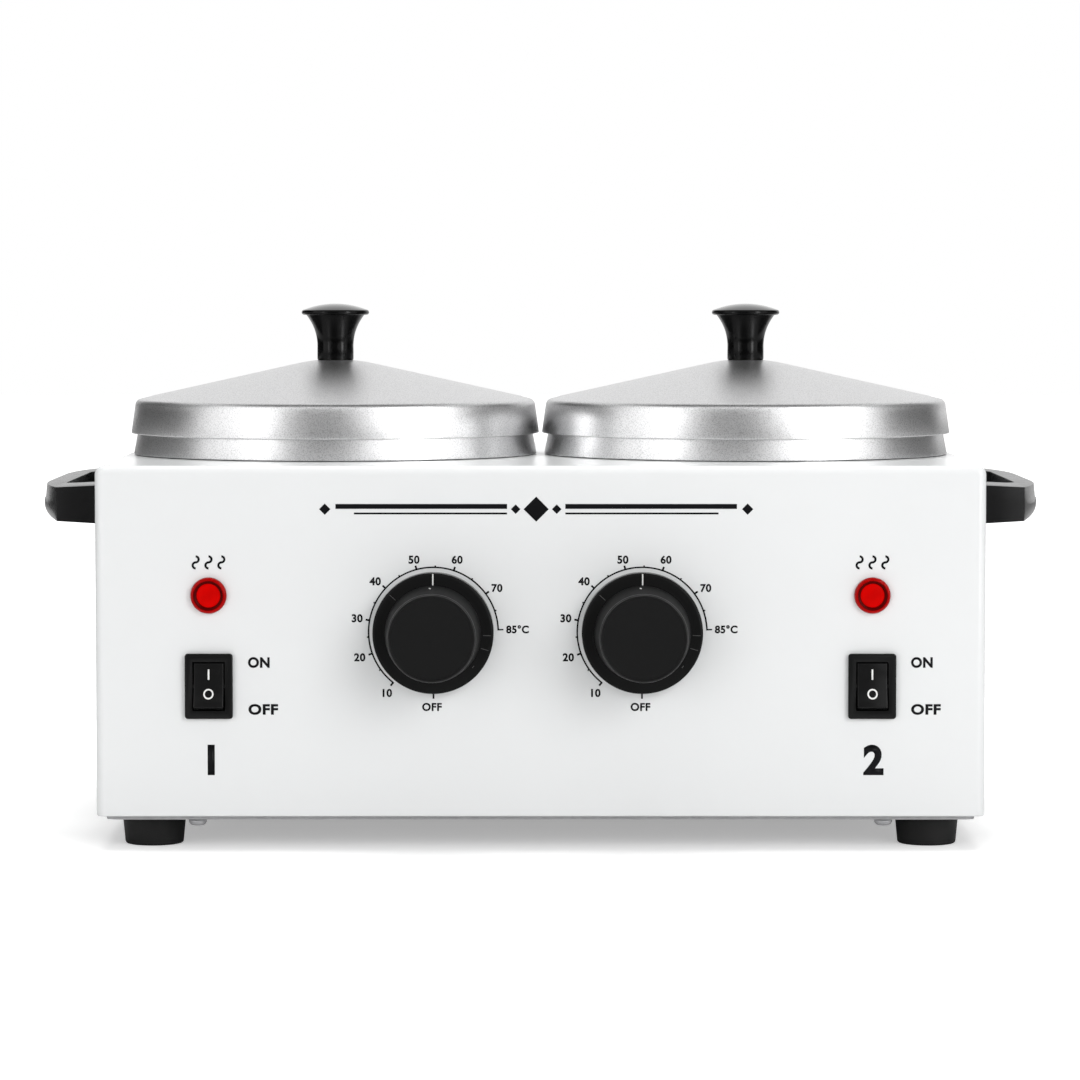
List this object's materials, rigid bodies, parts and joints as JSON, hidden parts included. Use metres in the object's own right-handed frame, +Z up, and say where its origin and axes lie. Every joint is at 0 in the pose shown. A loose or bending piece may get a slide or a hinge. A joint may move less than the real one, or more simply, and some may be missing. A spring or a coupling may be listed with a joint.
{
  "type": "double wax warmer",
  "caption": "Box-shaped double wax warmer with lift-out round pots under knobbed lids, turned dials, rocker switches, indicator lamps, side handles and rubber feet.",
  "frame": {"origin": "on the surface that the feet stand on, under the middle of the whole object's box", "axes": "+X to the right seen from the front, +Y to the rear, away from the dials, +Z up"},
  "size_m": [0.3388, 0.2356, 0.179],
  "materials": {
    "white_enamel": "gloss",
    "spun_aluminium": "satin, spun",
    "zinc_plate": "zinc plated",
    "black_plastic": "satin",
    "gloss_black": "gloss",
    "black_rubber": "matte",
    "red_lens": "clear red, lit",
    "mica_band": "mica in steel",
    "copper": "drawn tube",
    "brass": "bright",
    "ceramic": "unglazed ceramic"
  },
  "bodies": {
    "housing": {"base_plate": "zinc_plate", "earth_pin": "brass", "front_left_base_screw": "zinc_plate", "front_left_foot": "black_rubber", "front_left_foot_screw": "zinc_plate", "front_left_handle_screw": "zinc_plate", "front_right_base_screw": "zinc_plate", "front_right_foot": "black_rubber", "front_right_foot_screw": "zinc_plate", "front_right_handle_screw": "zinc_plate", "housing_shell": "white_enamel", "left_band_heater": "mica_band", "left_capillary": "copper", "left_handle": "black_plastic", "left_lamp": "red_lens", "left_lamp_nut": "black_plastic", "left_panel_nut": "zinc_plate", "left_switch_frame": "gloss_black", "left_thermal_cutout": "ceramic", "left_thermostat": "zinc_plate", "left_tie_rod": "zinc_plate", "left_well": "spun_aluminium", "live_pin": "brass", "neutral_pin": "brass", "power_inlet": "black_plastic", "rear_left_base_screw": "zinc_plate", "rear_left_foot": "black_rubber", "rear_left_foot_screw": "zinc_plate", "rear_left_handle_screw": "zinc_plate", "rear_right_base_screw": "zinc_plate", "rear_right_foot": "black_rubber", "rear_right_foot_screw": "zinc_plate", "rear_right_handle_screw": "zinc_plate", "right_band_heater": "mica_band", "right_capillary": "copper", "right_handle": "black_plastic", "right_lamp": "red_lens", "right_lamp_nut": "black_plastic", "right_panel_nut": "zinc_plate", "right_switch_frame": "gloss_black", "right_thermal_cutout": "ceramic", "right_thermostat": "zinc_plate", "right_tie_rod": "zinc_plate", "right_well": "spun_aluminium", "terminal_block": "ceramic"},
    "left_pot": {"left_pot": "spun_aluminium"},
    "left_lid": {"left_lid": "spun_aluminium", "left_lid_knob": "gloss_black", "left_lid_screw": "zinc_plate"},
    "left_dial": {"left_dial_knob": "black_plastic", "left_thermostat_shaft": "zinc_plate"},
    "left_rocker": {"left_rocker": "gloss_black"},
    "right_pot": {"right_pot": "spun_aluminium"},
    "right_lid": {"right_lid": "spun_aluminium", "right_lid_knob": "gloss_black", "right_lid_screw": "zinc_plate"},
    "right_dial": {"right_dial_knob": "black_plastic", "right_thermostat_shaft": "zinc_plate"},
    "right_rocker": {"right_rocker": "gloss_black"}
  },
  "joints": [
    {"name": "left_pot_lift", "type": "slide", "parent": "housing", "child": "left_pot", "axis": [0, 0, 1], "range_m": [0, 0.1]},
    {"name": "left_lid_lift", "type": "slide", "parent": "left_pot", "child": "left_lid", "axis": [0, 0, 1], "range_m": [0, 0.06]},
    {"name": "left_dial_turn", "type": "hinge", "parent": "housing", "child": "left_dial", "pos_m": [-0.035, -0.08985, 0.0717], "axis": [0, 1, 0], "range_deg": [-180, 90]},
    {"name": "left_switch_rock", "type": "hinge", "parent": "housing", "child": "left_rocker", "pos_m": [-0.1084, -0.09055, 0.054], "axis": [1, 0, 0], "range_deg": [0, 22]},
    {"name": "right_pot_lift", "type": "slide", "parent": "housing", "child": "right_pot", "axis": [0, 0, 1], "range_m": [0, 0.1]},
    {"name": "right_lid_lift", "type": "slide", "parent": "right_pot", "child": "right_lid", "axis": [0, 0, 1], "range_m": [0, 0.06]},
    {"name": "right_dial_turn", "type": "hinge", "parent": "housing", "child": "right_dial", "pos_m": [0.0332, -0.08985, 0.0717], "axis": [0, 1, 0], "range_deg": [-180, 90]},
    {"name": "right_switch_rock", "type": "hinge", "parent": "housing", "child": "right_rocker", "pos_m": [0.1084, -0.09055, 0.054], "axis": [1, 0, 0], "range_deg": [0, 22]}
  ]
}
